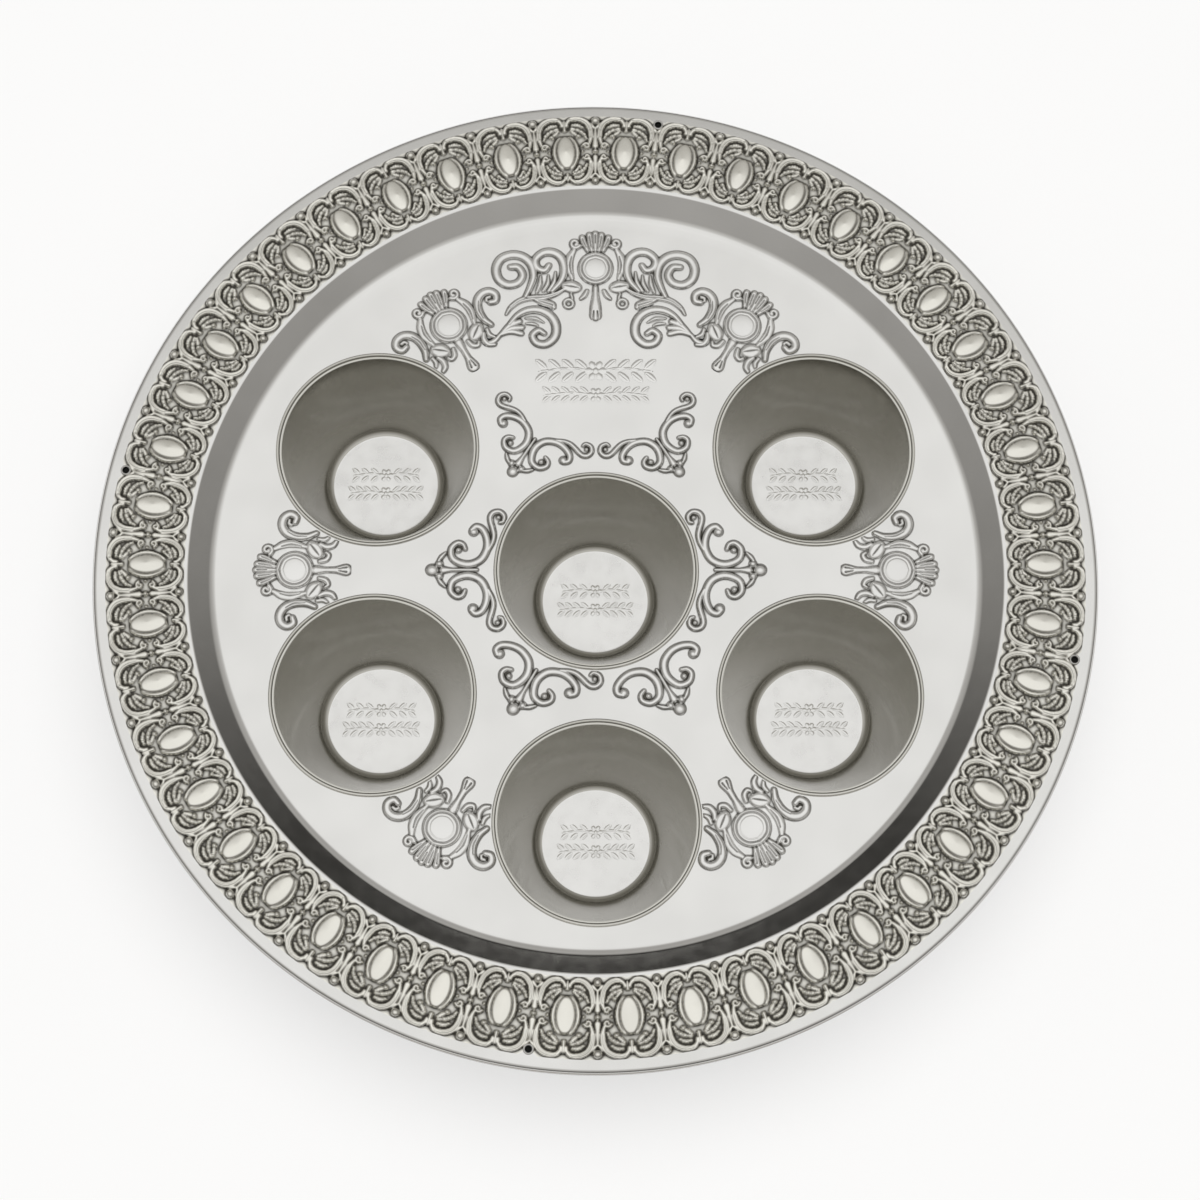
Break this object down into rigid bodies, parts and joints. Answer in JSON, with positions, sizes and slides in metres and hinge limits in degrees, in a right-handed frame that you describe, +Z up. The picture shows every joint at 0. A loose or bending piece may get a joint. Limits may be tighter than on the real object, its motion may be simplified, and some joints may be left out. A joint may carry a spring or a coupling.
{
  "type": "seder plate",
  "caption": "Round silver-coloured seder plate: a rimmed tray with struck scroll ornament and conical cups set into its field, for ritual foods.",
  "frame": {"origin": "centre of the plate on the plane that the cups stand on", "axes": "+Z up out of the plate, +Y to the back where the crest is, +X to the right of a person in front of it"},
  "size_m": [0.3, 0.3, 0.0446],
  "materials": {
    "tray": "silver-plated, soft mirror",
    "cup": "silver-plated, bright",
    "border": "silver-plated, darkened recesses",
    "mount": "silver-plated, bright",
    "eyelet": "plated, dull"
  },
  "bodies": {
    "root": {"border_back_left": "border", "border_back_right": "border", "border_eyelets": "eyelet", "border_front_left": "border", "border_front_right": "border", "crest": "mount", "cup_back_left": "cup", "cup_back_right": "cup", "cup_centre": "cup", "cup_front": "cup", "cup_front_left": "cup", "cup_front_right": "cup", "header_branch_left": "mount", "header_branch_right": "mount", "header_scroll_left": "mount", "header_scroll_right": "mount", "rosette_back_left": "mount", "rosette_back_right": "mount", "rosette_front_left": "mount", "rosette_front_right": "mount", "rosette_left": "mount", "rosette_right": "mount", "scroll_front_left": "mount", "scroll_front_right": "mount", "scroll_left": "mount", "scroll_right": "mount", "tray_pan": "tray"}
  },
  "joints": []
}
